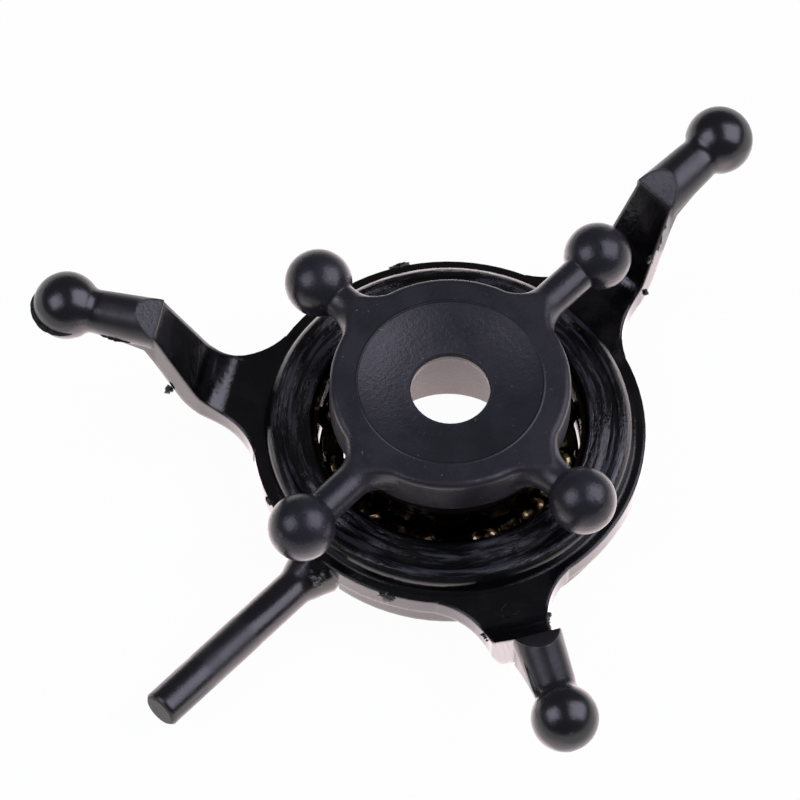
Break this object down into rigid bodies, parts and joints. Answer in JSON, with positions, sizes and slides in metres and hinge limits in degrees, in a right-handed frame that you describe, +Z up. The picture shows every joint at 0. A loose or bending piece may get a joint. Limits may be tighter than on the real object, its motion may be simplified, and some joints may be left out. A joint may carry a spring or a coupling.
{
  "type": "helicopter swashplate",
  "caption": "Small model helicopter swashplate: a dished rotor plate with link balls turns in a ball bearing held by a star with cranked arms and a long guide pin.",
  "frame": {"origin": "on the mast axis, at the height of the rotor plate's link balls", "axes": "+Z up the mast, +X along the front arm of the star; the guide pin points along -X"},
  "size_m": [0.0323, 0.0286, 0.0075],
  "materials": {
    "rotor_nylon": "satin",
    "star_nylon": "gloss",
    "bearing_steel": "polished",
    "ball_steel": "polished",
    "cage_steel": "pressed sheet, tinted by grease"
  },
  "bodies": {
    "star": {"lower_star": "star_nylon", "bearing_outer_race": "bearing_steel"},
    "rotor": {"rotor_plate": "rotor_nylon", "bearing_inner_race": "bearing_steel"},
    "cage": {"cage_upper_half": "cage_steel", "cage_lower_half": "cage_steel"},
    "ball_01": {"bearing_ball_01": "ball_steel"},
    "ball_02": {"bearing_ball_02": "ball_steel"},
    "ball_03": {"bearing_ball_03": "ball_steel"},
    "ball_04": {"bearing_ball_04": "ball_steel"},
    "ball_05": {"bearing_ball_05": "ball_steel"},
    "ball_06": {"bearing_ball_06": "ball_steel"},
    "ball_07": {"bearing_ball_07": "ball_steel"},
    "ball_08": {"bearing_ball_08": "ball_steel"},
    "ball_09": {"bearing_ball_09": "ball_steel"},
    "ball_10": {"bearing_ball_10": "ball_steel"},
    "ball_11": {"bearing_ball_11": "ball_steel"},
    "ball_12": {"bearing_ball_12": "ball_steel"}
  },
  "joints": [
    {"name": "rotor_spin", "type": "hinge", "parent": "star", "child": "rotor", "pos_m": [0, 0, 0], "axis": [0, 0, 1], "continuous": true},
    {"name": "cage_spin", "type": "hinge", "parent": "star", "child": "cage", "pos_m": [0, 0, 0], "axis": [0, 0, 1], "continuous": true},
    {"name": "ball_spin_01", "type": "hinge", "parent": "cage", "child": "ball_01", "pos_m": [0.0045, 0, -0.00395], "axis": [0, 0, 1], "continuous": true},
    {"name": "ball_spin_02", "type": "hinge", "parent": "cage", "child": "ball_02", "pos_m": [0.0039, 0.00225, -0.00395], "axis": [0, 0, 1], "continuous": true},
    {"name": "ball_spin_03", "type": "hinge", "parent": "cage", "child": "ball_03", "pos_m": [0.00225, 0.0039, -0.00395], "axis": [0, 0, 1], "continuous": true},
    {"name": "ball_spin_04", "type": "hinge", "parent": "cage", "child": "ball_04", "pos_m": [0, 0.0045, -0.00395], "axis": [0, 0, 1], "continuous": true},
    {"name": "ball_spin_05", "type": "hinge", "parent": "cage", "child": "ball_05", "pos_m": [-0.00225, 0.0039, -0.00395], "axis": [0, 0, 1], "continuous": true},
    {"name": "ball_spin_06", "type": "hinge", "parent": "cage", "child": "ball_06", "pos_m": [-0.0039, 0.00225, -0.00395], "axis": [0, 0, 1], "continuous": true},
    {"name": "ball_spin_07", "type": "hinge", "parent": "cage", "child": "ball_07", "pos_m": [-0.0045, 0, -0.00395], "axis": [0, 0, 1], "continuous": true},
    {"name": "ball_spin_08", "type": "hinge", "parent": "cage", "child": "ball_08", "pos_m": [-0.0039, -0.00225, -0.00395], "axis": [0, 0, 1], "continuous": true},
    {"name": "ball_spin_09", "type": "hinge", "parent": "cage", "child": "ball_09", "pos_m": [-0.00225, -0.0039, -0.00395], "axis": [0, 0, 1], "continuous": true},
    {"name": "ball_spin_10", "type": "hinge", "parent": "cage", "child": "ball_10", "pos_m": [0, -0.0045, -0.00395], "axis": [0, 0, 1], "continuous": true},
    {"name": "ball_spin_11", "type": "hinge", "parent": "cage", "child": "ball_11", "pos_m": [0.00225, -0.0039, -0.00395], "axis": [0, 0, 1], "continuous": true},
    {"name": "ball_spin_12", "type": "hinge", "parent": "cage", "child": "ball_12", "pos_m": [0.0039, -0.00225, -0.00395], "axis": [0, 0, 1], "continuous": true}
  ],
  "couplings": [
    {"joint": "cage_spin", "follows": "rotor_spin", "ratio": 0.43333},
    {"joint": "ball_spin_01", "follows": "rotor_spin", "ratio": -3.6833},
    {"joint": "ball_spin_02", "follows": "rotor_spin", "ratio": -3.6833},
    {"joint": "ball_spin_03", "follows": "rotor_spin", "ratio": -3.6833},
    {"joint": "ball_spin_04", "follows": "rotor_spin", "ratio": -3.6833},
    {"joint": "ball_spin_05", "follows": "rotor_spin", "ratio": -3.6833},
    {"joint": "ball_spin_06", "follows": "rotor_spin", "ratio": -3.6833},
    {"joint": "ball_spin_07", "follows": "rotor_spin", "ratio": -3.6833},
    {"joint": "ball_spin_08", "follows": "rotor_spin", "ratio": -3.6833},
    {"joint": "ball_spin_09", "follows": "rotor_spin", "ratio": -3.6833},
    {"joint": "ball_spin_10", "follows": "rotor_spin", "ratio": -3.6833},
    {"joint": "ball_spin_11", "follows": "rotor_spin", "ratio": -3.6833},
    {"joint": "ball_spin_12", "follows": "rotor_spin", "ratio": -3.6833}
  ]
}
